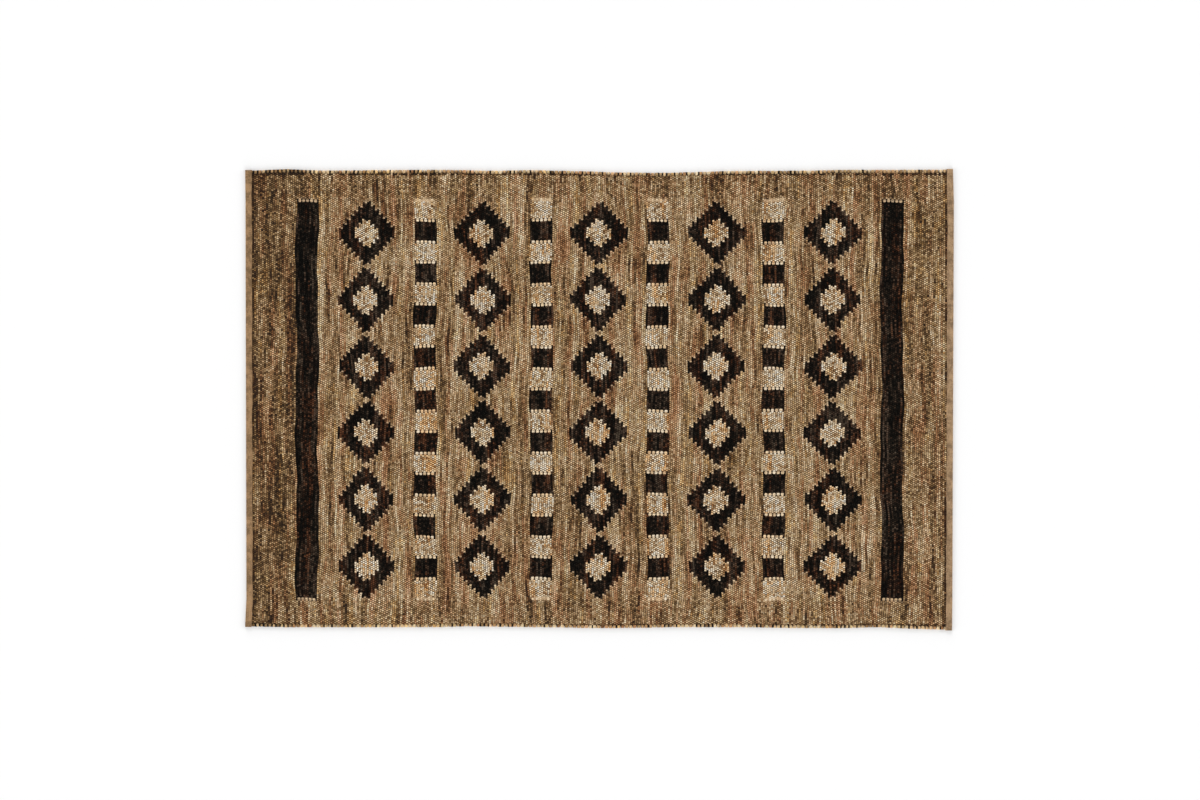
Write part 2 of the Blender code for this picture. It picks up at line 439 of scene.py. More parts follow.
# %% [markdown]
# ## The woven selvedge
#
# Along the two long edges every weft wraps over the last warp and goes back in the next lane. Each
# wrap is a short, flat strip bent over the edge. One is spun from a flattened circle, given two legs
# that dive into the weave, and copied along the edge with a little unevenness of size and place. In
# some of the gaps between them a black thread is wrapped over the edge as well, and it is the same
# shape, only narrower. These black wraps are partly real thread and partly painted shade: dark
# pieces put where the gaps between wraps fall into shade.

# %% Spin one wrap of weft over the edge
TURN_THICK = 0.0026
TURN_RADIUS = 0.0021  # of the middle of the strip, where it bends over the edge
TURN_HEIGHT = 0.0039  # of the bend's centre above the floor
TURN_INSET = 0.0045  # of the bend's centre from the plain edge
TURN_STRETCH = 1.45  # how far the bend is drawn out
TURN_SIDES = 10
TURN_STEPS = 6
LEGS = [(0.0065, 0.0004), (0.0030, 0.0028)]  # length and dive of each part of a leg
LEG = sum(length for length, dive in LEGS)
PRESSED_HEIGHT = 0.0033  # of the bend's centre inside a tape's fold
PRESSED_SHARE = 0.42  # of the wrap's height that is left there
SQUARENESS = 0.6  # below 1 flattens the strip's two faces
Wrap = namedtuple("Wrap", "half_width thick")
WEFT_WRAP = Wrap(0.93 * LANE, TURN_THICK)
THREAD_WRAP = Wrap(0.0031, TURN_THICK * 1.12)


def smooth_all(bm):
    for face in bm.faces:
        face.smooth = True


def wrapped_strip(wrap):
    """One strip over the edge at the origin: its top leg, its bend towards +Y and its lower leg."""
    bm = bmesh.new()
    bmesh.ops.create_circle(bm, segments=TURN_SIDES, radius=1.0)
    for vert in bm.verts:
        up = np.sign(vert.co.y) * abs(vert.co.y) ** SQUARENESS
        vert.co = (vert.co.x * wrap.half_width, 0.0, TURN_RADIUS + up * wrap.thick / 2)
    top = list(bm.edges)
    spun = bmesh.ops.spin(bm, geom=top, cent=(0, 0, 0), axis=(1, 0, 0), angle=-pi, steps=TURN_STEPS)
    low = [item for item in spun["geom_last"] if isinstance(item, bmesh.types.BMEdge)]
    for edges, up in ((top, 1), (low, -1)):
        for length, dive in LEGS:
            leg = bmesh.ops.extrude_edge_only(bm, edges=edges)["geom"]
            verts = [item for item in leg if isinstance(item, bmesh.types.BMVert)]
            edges = [item for item in leg if isinstance(item, bmesh.types.BMEdge) and item.is_boundary]
            bmesh.ops.translate(bm, verts=verts, vec=(0, -length, -up * dive))
    bmesh.ops.recalc_face_normals(bm, faces=bm.faces)
    smooth_all(bm)
    return mesh_from(bm, "wrapped_strip")


def share_along(y, z):
    """How far along a wrapped strip a point lies, from 0 at its top end to 1 at its lower end."""
    whole = 2 * LEG + pi * TURN_RADIUS
    if y < 0:
        return (LEG + y) / whole if z > 0 else 1 - (LEG + y) / whole
    return (LEG + TURN_RADIUS * atan2(y, z)) / whole


# %% Copy it along both long edges
STRETCH_VARIES = 0.10  # how much a wrap's reach varies
NARROWING = 0.03  # of the width, lost as its reach changes
SWING = 0.10  # sideways for each metre out
LIFT = 0.00005
UV_HALF_WIDTH = 0.45  # of a lane, between a wrap's middle and its side in the UV map
UV_START = 0.1  # of a bead, where a wrap's top end lies in it
UV_LENGTH = 0.8  # of a bead, that a whole wrap covers


def wrapped_edge(name, wrap, places):
    """A row of wraps, each with its side, 1 at the back and -1 at the front, its lane and its width."""
    strip = wrapped_strip(wrap)
    count = len(strip.vertices)
    rows = [(vert.co.copy(), share_along(vert.co.y, vert.co.z)) for vert in strip.vertices]
    bm = bmesh.new()
    uv = bm.loops.layers.uv.new("Weave")
    for side, lane, width in places:
        x = lane * LANE - HALF_LENGTH
        bm.from_mesh(strip)
        bm.verts.ensure_lookup_table()
        added = bm.verts[-count:]
        size, lift, swing = rng.normal(0, 1, 3)
        stretch = TURN_STRETCH + STRETCH_VARIES * size
        reading = {}
        for vert, (rest, along) in zip(added, rows):
            out = rest.y * (stretch if rest.y > 0 else 1.0)
            plain_x = x + rest.x * width * (1 - NARROWING * abs(size)) + SWING * swing * out
            plain_y = side * (HALF_WIDTH - TURN_INSET + out)
            new_x, new_y = fitted(np.array(plain_x), np.array(plain_y))
            squeeze = float(thinned_share(plain_x))
            open_z = TURN_HEIGHT + rest.z + LIFT * lift * np.sign(rest.z)
            pressed_z = PRESSED_HEIGHT + PRESSED_SHARE * rest.z
            vert.co = (new_x, new_y, open_z * (1 - squeeze) + pressed_z * squeeze)
            # Each wrap's bead crown falls on its bend, so the painted groove shade darkens the wrap's
            # sides and the ends of its legs.
            across = lane + 0.5 + UV_HALF_WIDTH * rest.x / wrap.half_width
            bead_start = 3 * lane - 0.5 * (lane % 2)
            reading[vert] = (across, bead_start + UV_START + UV_LENGTH * along)
        for face in {face for vert in added for face in vert.link_faces}:
            for loop in face.loops:
                loop[uv].uv = reading[loop.vert]
            if side < 0:
                face.normal_flip()
    bpy.data.meshes.remove(strip)
    mesh = mesh_from(bm, name)
    print(name, len(places), "wraps,", len(mesh.polygons) * 2, "triangles")
    return placed(name, mesh)


def lane_lines(side, first):
    """Every second lane line along one side, from the first, at full width."""
    return [(side, lane, 1.0) for lane in range(first, LANES, 2)]


DIP_SHARE = 0.30  # of the gaps between wraps that hold black thread
DIP_SHARE_AT_END = 0.65  # the same, near the left end
END_REACH = 0.3  # how far from the left end that goes on
DIP_WIDTHS = (0.9, 2.1)  # the narrowest and the widest, of the thread's own wrap
# Black thread wraps in some gaps between weft wraps, partly real thread and partly painted shade for
# those gaps.
black_wraps_and_gap_shade = [
    (side, lane, rng.uniform(*DIP_WIDTHS)) for side, lane, width in lane_lines(1, 2) + lane_lines(-1, 1)
    if rng.random() < (DIP_SHARE if lane * LANE > END_REACH else DIP_SHARE_AT_END)
]
cloth_pieces["selvedge_back"] = wrapped_edge("selvedge_back", WEFT_WRAP, lane_lines(1, 1))
cloth_pieces["selvedge_front"] = wrapped_edge("selvedge_front", WEFT_WRAP, lane_lines(-1, 2))
edge_wraps = wrapped_edge("selvedge_thread_wraps", THREAD_WRAP, black_wraps_and_gap_shade)

# %% [markdown]
# ## The folded tapes
#
# At the two ends the warps stop, and a plain tape is folded over them and sewn down. The packed
# tape has the right section, but real tape puckers between its stitches and its edge wanders, so a
# finer one takes its place: a grid bent round the section, closed along its seam and at its ends.

# %% Bend a grid round the tape's section
RUG_END = 1.5
TAPE = 0.0012
TAPE_TOP = 0.0066
FOLD = 0.0025
OVERHANG = 0.003  # of the tape past the long edges
STITCH_PITCH = 0.009
STITCH_INSET = 0.0045
SEWN_REACH = 0.003  # how far from its row of stitches a tape puckers
PUCKER = 0.00022
TAPE_CROWN = 0.0005  # how far a tape's upper face swells
MERGE = 0.00002
Drift = namedtuple("Drift", "size pitch start")
EDGE_DRIFT = [Drift(0.0009, 0.31, 0.5), Drift(0.0006, 0.117, 2.0), Drift(0.0003, 0.043, 4.0)]


def tape_section(width):
    """The tape's outline: how far in from the rug's end, and how high, from under it to over it."""
    arc = [(FOLD * (1 - sin(k * pi / 8)), FOLD * (1 - cos(k * pi / 8))) for k in range(5)]
    low = [(width, 0.0), (width / 2, 0.0)] + arc
    high = [(u, TAPE_TOP - z) for u, z in reversed(arc)]
    over = [(width * share, TAPE_TOP) for share in (0.3, 0.5, 0.7, 0.84, 0.95)]
    edge = [(width, TAPE_TOP - 0.0003), (width, TAPE_TOP - TAPE)]
    slot = [(TAPE, TAPE_TOP - TAPE), (TAPE, TAPE), (width, TAPE)]
    return np.array(low + high + over + edge + slot)


def folded_tape(name, side, start):
    """The tape over one end; side is -1 at the left and 1 at the right."""
    half = HALF_WIDTH + OVERHANG
    stations = int(2 * half / (STITCH_PITCH / 2)) + 1
    sides = len(tape_section(BINDING_WIDTH))
    mesh = flat_grid(name, sides + 1, stations)
    i, j = grid_indices(mesh, sides + 1, stations)
    y = -half + 2 * half * j / (stations - 1)
    section = tape_section(1.0)[i % sides]
    plain = tape_section(BINDING_WIDTH)[i % sides]
    drift = sum(d.size * np.sin(2 * pi * y / d.pitch + d.start + start) for d in EDGE_DRIFT)
    inner = np.where(section[:, 0] > 0.6, 1.0, 0.0)
    u = plain[:, 0] + drift * inner
    on_top = plain[:, 1] > TAPE_TOP - TAPE / 2
    sewn = np.exp(-(((u - BINDING_WIDTH + STITCH_INSET) / SEWN_REACH) ** 2))
    pucker = PUCKER * (np.cos(2 * pi * y / STITCH_PITCH) - 1) * sewn
    crown = TAPE_CROWN * np.sin(pi * np.clip(u / BINDING_WIDTH, 0, 1))
    z = plain[:, 1] + np.where(on_top, pucker + crown, 0.0)
    x, y = fitted(side * (RUG_END - u), y)
    mesh.vertices.foreach_set("co", np.column_stack([x, y, z]).ravel())
    bm = bmesh.new()
    bm.from_mesh(mesh)
    bmesh.ops.remove_doubles(bm, verts=bm.verts, dist=MERGE)
    ends = [edge for edge in bm.edges if edge.is_boundary]
    bmesh.ops.holes_fill(bm, edges=ends, sides=0)
    bmesh.ops.recalc_face_normals(bm, faces=bm.faces)
    smooth_all(bm)
    bm.to_mesh(mesh)
    bm.free()
    print(name, len(mesh.polygons) * 2, "triangles")
    return placed(name, mesh)


tapes = {
    "left": folded_tape("folded_tape_left", -1, 0.0),
    "right": folded_tape("folded_tape_right", 1, 2.2),
}

# %% [markdown]
# ## The sewing
#
# A running stitch in thread of the tape's own colour holds each tape down. Near the corners and
# here and there along the selvedges the black thread runs along just inside the wraps as well.
# Every stitch is a thin, long ball, which costs only a few dozen faces.

# %% Make stitches from stretched balls
Stitch = namedtuple("Stitch", "x y z along across thick turn")


def stitches(name, rows):
    """One mesh of many stitches, each a stretched ball at its place, turned about Z."""
    bm = bmesh.new()
    for row in rows:
        made = bmesh.ops.create_uvsphere(bm, u_segments=8, v_segments=5, radius=1.0)["verts"]
        turn = np.radians(row.turn)
        for vert in made:
            up, along, across = vert.co.x, vert.co.z, vert.co.y
            dx, dy = along * row.along / 2, across * row.across / 2
            vert.co.x = row.x + dx * np.cos(turn) - dy * np.sin(turn)
            vert.co.y = row.y + dx * np.sin(turn) + dy * np.cos(turn)
            vert.co.z = row.z + up * row.thick / 2
    smooth_all(bm)
    bmesh.ops.recalc_face_normals(bm, faces=bm.faces)
    mesh = mesh_from(bm, name)
    print(name, len(rows), "stitches,", len(mesh.polygons), "faces")
    return placed(name, mesh)


def running_stitch(side):
    rows = []
    count = int(2 * HALF_WIDTH / STITCH_PITCH)
    for k in range(count):
        y = -HALF_WIDTH + (k + 0.5) * STITCH_PITCH
        u = BINDING_WIDTH - STITCH_INSET + rng.normal(0, 0.0003)
        x, place = fitted(np.array(side * (RUG_END - u)), np.array(y))
        rows.append(Stitch(x, place, TAPE_TOP + 0.0002, 0.0056, 0.0011, 0.0011, 90 + rng.normal(0, 3)))
    return rows


sewing = {
    "left": stitches("tape_stitches_left", running_stitch(-1)),
    "right": stitches("tape_stitches_right", running_stitch(1)),
}

# %% Secure the selvedges with black thread
Dash = namedtuple("Dash", "x length side")
DASHES = [
    Dash(-1.462, 0.020, 1),
    Dash(-1.390, 0.030, 1),
    Dash(-1.462, 0.022, -1),
    Dash(-1.425, 0.026, -1),
    Dash(-1.378, 0.024, -1),
    Dash(-1.20, 0.016, -1),
    Dash(-0.98, 0.014, 1),
    Dash(0.42, 0.015, -1),
    Dash(1.31, 0.018, 1),
]
DASH_INSET = 0.0135
DASH_PITCH = 0.0085  # of the visible bits of thread in a dash


def selvedge_thread():
    rows = []
    for dash in DASHES:
        for k in range(int(dash.length / DASH_PITCH)):
            place = dash.x + (k + 0.5) * DASH_PITCH - dash.length / 2
            y = dash.side * (HALF_WIDTH - DASH_INSET + rng.normal(0, 0.0006))
            x, y = fitted(np.array(place), np.array(y))
            rows.append(Stitch(x, y, 0.0063, 0.0090, 0.0030, 0.0022, rng.normal(0, 12)))
    return rows


edge_thread = stitches("selvedge_thread", selvedge_thread())

# %% [markdown]
# ## Shader helpers
#
# Every material here is made of nodes. A few short helpers add a node, link what is a socket and
# set what is a number, so that the recipes below stay readable.

# %% Small helpers for nodes
def add_node(tree, kind, inputs=None, **settings):
    made = tree.nodes.new("ShaderNode" + kind)
    for key, value in settings.items():
        setattr(made, key, value)
    for key, value in (inputs or {}).items():
        if isinstance(value, bpy.types.NodeSocket):
            tree.links.new(value, made.inputs[key])
        else:
            made.inputs[key].default_value = value
    return made


def maths(tree, operation, *values):
    return add_node(tree, "Math", dict(enumerate(values)), operation=operation).outputs[0]


def mixed(tree, factor, low, high, way="MIX"):
    """Two colours mixed, or multiplied and so on, by a factor."""
    node = add_node(tree, "Mix", {0: factor, 6: low, 7: high}, data_type="RGBA", blend_type=way)
    return node.outputs[2]


def ramp(tree, factor, stops):
    node = add_node(tree, "ValToRGB", {0: factor})
    elements = node.color_ramp.elements
    while len(elements) < len(stops):
        elements.new(0.5)
    for element, (place, colour) in zip(elements, stops):
        element.position = place
        element.color = (*colour, 1.0)
    return node.outputs[0]


def ranged(tree, value, low, high, to_low, to_high):
    settings = {0: value, 1: low, 2: high, 3: to_low, 4: to_high}
    return add_node(tree, "MapRange", settings, interpolation_type="SMOOTHSTEP").outputs[0]


def new_group(name, takes, gives):
    """An empty node group with named sockets, and its two end nodes."""
    tree = bpy.data.node_groups.new(name, "ShaderNodeTree")
    for socket, kind in takes.items():
        tree.interface.new_socket(socket, in_out="INPUT", socket_type="NodeSocket" + kind)
    for socket, kind in gives.items():
        tree.interface.new_socket(socket, in_out="OUTPUT", socket_type="NodeSocket" + kind)
    start = tree.nodes.new("NodeGroupInput")
    end = tree.nodes.new("NodeGroupOutput")
    return tree, start.outputs, end.inputs


def use_group(tree, group, inputs):
    node = tree.nodes.new("ShaderNodeGroup")
    node.node_tree = group
    for key, value in inputs.items():
        if isinstance(value, bpy.types.NodeSocket):
            tree.links.new(value, node.inputs[key])
        else:
            node.inputs[key].default_value = value
    return node.outputs


# %% [markdown]
# ## One group for the beads
#
# Leather weft is cut from many hides, so its tone and its hue change from lane to lane, slowly
# along a lane and from bead to bead. The UV map counts lanes and beads, so rounding it down names
# the bead, and a noise read at that name gives each bead its own tone. A noise puts out a colour of
# three separate values, so that its green can serve as the hue. The group also says how near the
# crown of its bead a point lies, which gives the bead its bump and sets where painted shade darkens
# the grooves.

# %% Build the bead group
WIDEST_GAP = 0.26  # of their crown, how far the bump's hollow and the painted groove shade reach in round the loosest beads
LOOSE_FROM = 0.55  # beads whose random value is past this have a gap
WANDER_SCALE = 1.7
WANDER = (0.34, 0.34, 0.0)  # of a lane and of a bead, how far the beads' bounds stray
LANE_STEP = 7.31  # so far apart in the noise that two lanes have nothing in common
LANE_DRIFT = 0.045  # how fast a lane's tone changes from bead to bead
BAND_STEP = 0.23  # so near that a few lanes make a band
BAND_DRIFT = 0.012


def build_beads():
    names = ["Crown", "Bead tone", "Bead hue", "Lane tone", "Lane hue", "Band tone", "Band hue"]
    gives = dict.fromkeys(names, "Float")
    tree, takes, gives = new_group("Beads of the weave", {"Weave": "Vector"}, gives)
    settings = {"Vector": takes["Weave"], "Scale": WANDER_SCALE, "Detail": 2.0}
    warp = add_node(tree, "TexNoise", settings, noise_dimensions="2D").outputs["Color"]
    warp = add_node(tree, "VectorMath", {0: warp, 1: (0.5, 0.5, 0.5)}, operation="SUBTRACT").outputs[0]
    settings = {0: warp, 1: WANDER, 2: takes["Weave"]}
    uneven = add_node(tree, "VectorMath", settings, operation="MULTIPLY_ADD").outputs[0]
    place = add_node(tree, "SeparateXYZ", {0: uneven}).outputs
    lane = maths(tree, "FLOOR", place[0])
    odd = maths(tree, "MODULO", lane, 2.0)
    along = maths(tree, "MULTIPLY_ADD", odd, 0.5, place[1])
    bead = maths(tree, "FLOOR", along)
    across_part = maths(tree, "SUBTRACT", maths(tree, "FRACT", place[0]), 0.5)
    along_part = maths(tree, "SUBTRACT", maths(tree, "FRACT", along), 0.5)
    round_across = maths(tree, "COSINE", maths(tree, "MULTIPLY", across_part, pi))
    round_along = maths(tree, "COSINE", maths(tree, "MULTIPLY", along_part, pi))
    crown = maths(tree, "MULTIPLY", maths(tree, "SQRT", round_across), round_along)

    name_of_bead = add_node(tree, "CombineXYZ", {0: lane, 1: bead}).outputs[0]
    white = add_node(tree, "TexWhiteNoise", {0: name_of_bead}, noise_dimensions="2D").outputs["Color"]
    bead_values = add_node(tree, "SeparateColor", {0: white}).outputs
    tree.links.new(bead_values[0], gives["Bead tone"])
    tree.links.new(bead_values[1], gives["Bead hue"])
    gap = ranged(tree, bead_values[2], LOOSE_FROM, 1.0, 0.0, WIDEST_GAP)
    tree.links.new(maths(tree, "SUBTRACT", crown, gap), gives["Crown"])

    slow = {"Detail": 2.0, "Roughness": 0.6}
    broad = {"Detail": 3.0, "Roughness": 0.55}
    for kind, step, drift, grade in (
        ("Lane", LANE_STEP, LANE_DRIFT, slow),
        ("Band", BAND_STEP, BAND_DRIFT, broad),
    ):
        parts = {0: maths(tree, "MULTIPLY", lane, step), 1: maths(tree, "MULTIPLY", place[1], drift)}
        settings = {"Vector": add_node(tree, "CombineXYZ", parts).outputs[0], "Scale": 1.0, **grade}
        noise = add_node(tree, "TexNoise", settings, noise_dimensions="2D").outputs["Color"]
        values = add_node(tree, "SeparateColor", {0: noise}).outputs
        tree.links.new(values[0], gives[kind + " tone"])
        tree.links.new(values[1], gives[kind + " hue"])
    return tree


bead_group = build_beads()


# %% [markdown]
# ## One group for fibres and grain
#
# Close up, jute shows twisted fibres and cut leather shows a fine grain with streaks along the
# strip. Both are a noise stretched along the yarn: how far it is stretched, and how fine it is,
# are the group's inputs.

# %% Build the fibre group
def build_fibres():
    takes = {"Weave": "Vector", "Along": "Float", "Across": "Float", "Twist": "Float"}
    tree, takes, gives = new_group("Fibres and grain", takes, {"Height": "Float", "Fleck": "Float"})
    place = add_node(tree, "SeparateXYZ", {0: takes["Weave"]}).outputs
    twisted = maths(tree, "MULTIPLY_ADD", place[1], takes["Twist"], place[0])
    fine_place = add_node(
        tree, "CombineXYZ",
        {
            0: maths(tree, "MULTIPLY", twisted, takes["Across"]),
            1: maths(tree, "MULTIPLY", place[1], takes["Along"]),
        },
    ).outputs[0]
    settings = {"Vector": fine_place, "Scale": 1.0, "Detail": 3.0, "Roughness": 0.6}
    height = add_node(tree, "TexNoise", settings, noise_dimensions="2D").outputs[0]
    tree.links.new(height, gives["Height"])
    settings = {"Vector": fine_place, "Scale": 0.37, "Detail": 1.0}
    fleck = add_node(tree, "TexNoise", settings, noise_dimensions="2D").outputs[0]
    tree.links.new(ranged(tree, fleck, 0.56, 0.72, 0.0, 1.0), gives["Fleck"])
    return tree


fibre_group = build_fibres()

# %% [markdown]
# ## The three yarns
#
# The three woven materials share one recipe with their own values: a ramp of tones, how strongly
# lanes, beads and broad bands vary, how dark the painted shade in the grooves is, and how glossy
# the yarn is. The leather keeps a low sheen where it is worn, and the jute is quite matt.

# %% Write down how each yarn looks
EDGE_SHADE = 0.75  # of the tone, lost in some lanes just inside a selvedge: painted shade in the crease under the wraps' ends
# In a look, groove is the colour multiplied in as painted shade in the grooves, and edge is the share of
# tone lost to painted shade just inside a selvedge.
Look = namedtuple(
    "Look",
    "stops hues lane bead band field_lane field_bead edge grain twist groove"
    " turn turn_tint fleck fleck_tint rough gloss relief swell",
)
GROUND_LOOK = Look(
    stops=[
        (0.00, (0.046, 0.022, 0.008)),
        (0.25, (0.200, 0.108, 0.040)),
        (0.50, (0.497, 0.308, 0.148)),
        (0.75, (0.750, 0.530, 0.308)),
        (1.00, (0.965, 0.778, 0.530)),
    ],
    hues=[
        (0.10, (0.82, 0.62, 0.52)),
        (0.32, (1.00, 0.92, 0.85)),
        (0.50, (1.00, 1.00, 0.98)),
        (0.66, (0.96, 1.00, 1.04)),
        (0.84, (0.98, 1.01, 0.92)),
        (0.98, (1.10, 0.98, 0.74)),
    ],
    lane=1.10, bead=0.50, band=0.8, field_lane=1.45, field_bead=0.37,
    edge=EDGE_SHADE, grain=0.30, twist=0.08, groove=(0.085, 0.055, 0.032),
    turn=0.6, turn_tint=(0.70, 0.51, 0.32),
    fleck=0.35, fleck_tint=(0.10, 0.050, 0.022),
    rough=(0.62, 0.80), gloss=0.12, relief=0.0005, swell=0.0013,
)
LEATHER_LOOK = Look(
    stops=[
        (0.00, (0.0020, 0.0014, 0.0008)),
        (0.40, (0.0070, 0.0046, 0.0030)),
        (0.62, (0.0230, 0.0135, 0.0086)),
        (0.80, (0.0540, 0.0320, 0.0205)),
        (1.00, (0.1100, 0.0730, 0.0510)),
    ],
    hues=[
        (0.12, (1.18, 0.68, 0.42)),
        (0.35, (1.02, 0.80, 0.64)),
        (0.52, (0.85, 0.81, 0.77)),
        (0.85, (0.74, 0.82, 0.80)),
    ],
    lane=1.9, bead=0.65, band=0.8, field_lane=2.2, field_bead=0.65,
    edge=0.0, grain=0.45, twist=0.08, groove=(0.15, 0.12, 0.10),
    turn=0.0, turn_tint=(0.02, 0.015, 0.01),
    fleck=0.35, fleck_tint=(0.045, 0.042, 0.032),
    rough=(0.50, 0.68), gloss=0.04, relief=0.0003, swell=0.0010,
)
JUTE_LOOK = Look(
    stops=[
        (0.00, (0.340, 0.186, 0.084)),
        (0.25, (0.630, 0.415, 0.218)),
        (0.50, (0.890, 0.680, 0.435)),
        (0.75, (0.970, 0.815, 0.595)),
        (1.00, (0.985, 0.900, 0.745)),
    ],
    hues=[
        (0.16, (1.02, 0.76, 0.50)),
        (0.34, (1.01, 0.95, 0.87)),
        (0.50, (1.00, 1.00, 1.01)),
        (0.80, (0.98, 1.01, 1.03)),
        (0.97, (1.04, 0.93, 0.74)),
    ],
    lane=0.5, bead=0.85, band=1.3, field_lane=0.5, field_bead=0.90,
    edge=0.0, grain=0.35, twist=0.5, groove=(0.060, 0.034, 0.017),
    turn=0.5, turn_tint=(0.84, 0.65, 0.42),
    fleck=0.30, fleck_tint=(0.30, 0.155, 0.060),
    rough=(0.80, 0.92), gloss=0.08, relief=0.0007, swell=0.0017,
)
TURN_LOOK = GROUND_LOOK._replace(
    stops=[
        (0.00, (0.150, 0.082, 0.032)),
        (0.30, (0.410, 0.255, 0.118)),
        (0.60, (0.640, 0.450, 0.245)),
        (1.00, (0.880, 0.700, 0.450)),
    ],
    lane=1.2, bead=0.5, band=0.5, edge=0.0, groove=(0.07, 0.045, 0.026), turn=0.0, swell=0.0004,
)


# %% Make a material from a look
END_STRIPE = (LOZENGE_COLUMNS / 2) * COLUMN_PITCH + CHECK_WIDTH / 2
MARGIN_DARK = 0.17  # taken from the tone of the left margin
MARGIN_BLUR = 0.03
FIELD_LIGHT = 0.06  # added to the tone inside the field
FIELD_BLUR = 0.02  # half the breadth over which that comes in
PATCH = 0.4
PATCH_SCALE = 3.1
HUE_SHARES = {"Band hue": 1.7, "Lane hue": 1.3, "Bead hue": 0.35}
HUE_SCALE = 7.0
TAPE_SHADE = 0.22  # of the tone, lost in the crease beside a tape: painted shade
CREASE = (0.009, 0.004)  # from the tape, where that starts and where it is full
ROW = (0.014, 0.009)  # from the wraps, where that painted shade in the row inside a selvedge starts and where it is full
ROW_HUES = (0.43, 0.56)  # lanes whose hue is below these stay light there
SHADE_FREE_CROWN = (0.05, 0.85)  # of a bead's crown, from full painted groove shade to none
TURN_SHADE_FREE = 0.8  # how far a weft that turns back is free of that painted groove shade
FIBRE_ALONG = 1.6
FIBRE_ACROSS = 8.0


def yarn_tone(tree, look, beads, where):
    """How light the yarn is at a point, about 0.5 on the whole, from its four kinds of unevenness, its
    darker left margin and the painted shade beside the tapes and inside the selvedges.
    """
    place = add_node(tree, "SeparateXYZ", {0: where}).outputs
    from_middle = maths(tree, "ABSOLUTE", place[0])
    out = maths(tree, "ABSOLUTE", place[1])
    inside_x, inside_y = (
        ranged(tree, value, half - FIELD_BLUR, half + FIELD_BLUR, 1.0, 0.0)
        for value, half in ((from_middle, END_STRIPE), (out, FIELD_HALF))
    )
    inside = maths(tree, "MULTIPLY", inside_x, inside_y)
    lane_share = ranged(tree, inside, 0.0, 1.0, look.lane, look.field_lane)
    bead_share = ranged(tree, inside, 0.0, 1.0, look.bead, look.field_bead)
    patch = add_node(tree, "TexNoise", {"Vector": where, "Scale": PATCH_SCALE, "Detail": 2.0}).outputs[0]

    tone = maths(tree, "MULTIPLY_ADD", inside, FIELD_LIGHT, 0.5)
    parts = [
        (beads["Lane tone"], lane_share),
        (beads["Bead tone"], bead_share),
        (beads["Band tone"], look.band),
        (patch, PATCH),
    ]
    for value, share in parts:
        tone = maths(tree, "MULTIPLY_ADD", maths(tree, "SUBTRACT", value, 0.5), share, tone)

    margin_from, margin_to = -END_STRIPE - FIELD_BLUR, -END_STRIPE + MARGIN_BLUR
    margin = ranged(tree, place[0], margin_from, margin_to, MARGIN_DARK, 0.0)
    # Painted shade in the crease beside each tape.
    tape_edge = HALF_LENGTH - BINDING_WIDTH
    crease_shade = ranged(tree, from_middle, tape_edge - CREASE[0], tape_edge - CREASE[1], 0.0, TAPE_SHADE)
    # Painted shade in the row just inside each selvedge, only in lanes whose hue asks for it.
    wrap_edge = HALF_WIDTH - SELVEDGE
    row = ranged(tree, out, wrap_edge - ROW[0], wrap_edge - ROW[1], 0.0, look.edge)
    row = maths(tree, "MULTIPLY", row, ranged(tree, beads["Lane hue"], *ROW_HUES, 0.0, 1.0))
    for shade in (margin, crease_shade, row):
        tone = maths(tree, "SUBTRACT", tone, shade)
    return tone


def new_finish(name):
    """A fresh material, its node tree, its shader and the object's own coordinates."""
    made = bpy.data.materials.new(name)
    made.use_nodes = True
    tree = made.node_tree
    return made, tree, tree.nodes["Principled BSDF"], add_node(tree, "TexCoord").outputs["Object"]


